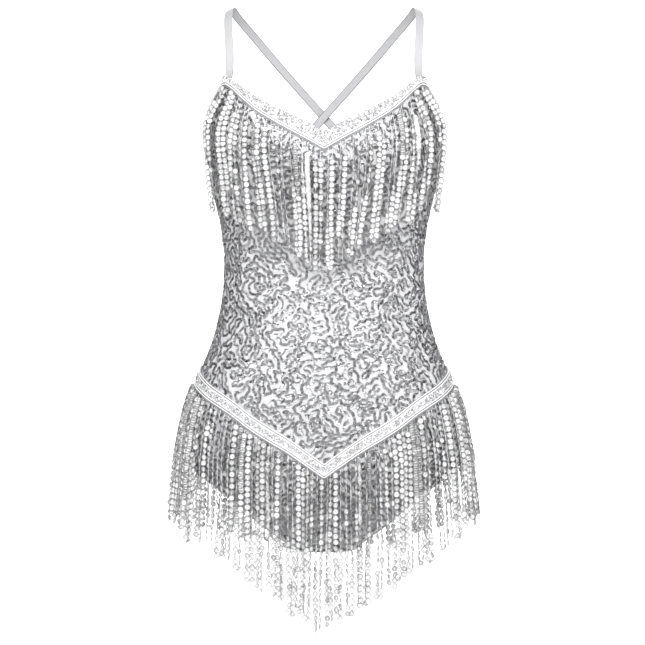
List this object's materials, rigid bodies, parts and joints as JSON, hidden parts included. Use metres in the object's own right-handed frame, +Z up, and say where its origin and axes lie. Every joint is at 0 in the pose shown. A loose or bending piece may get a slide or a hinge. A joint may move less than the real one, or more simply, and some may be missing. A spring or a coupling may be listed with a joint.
{
  "type": "latin dance leotard",
  "caption": "Sleeveless sequinned dance leotard with crossed back straps and sequin fringe on the neck band and hip band, filled out as worn.",
  "frame": {"origin": "between the wearer's shoulders, midway between the two straps and level with their undersides where they pass over the shoulders", "axes": "+Z up, +X towards the wearer's left, -Y towards the front of the garment"},
  "size_m": [0.3932, 0.2541, 0.7873],
  "materials": {
    "sequin_cloth": "silver sequins in meandering lines on white stretch knit",
    "sequin_trim": "dense small silver sequins between white cords",
    "stretch_binding": "plain satin stretch binding",
    "sequin_fringe": "strings of overlapping silver sequins",
    "strap_elastic": "satin covered elastic"
  },
  "bodies": {
    "root": {"front_panel": "sequin_cloth", "back_panel": "sequin_cloth", "neck_band": "sequin_trim", "hip_band_front": "sequin_trim", "hip_band_back": "sequin_trim", "top_binding": "stretch_binding", "strap_right": "strap_elastic", "strap_left": "strap_elastic", "neck_fringe": "sequin_fringe", "hip_fringe_front": "sequin_fringe", "hip_fringe_back": "sequin_fringe"}
  },
  "joints": []
}
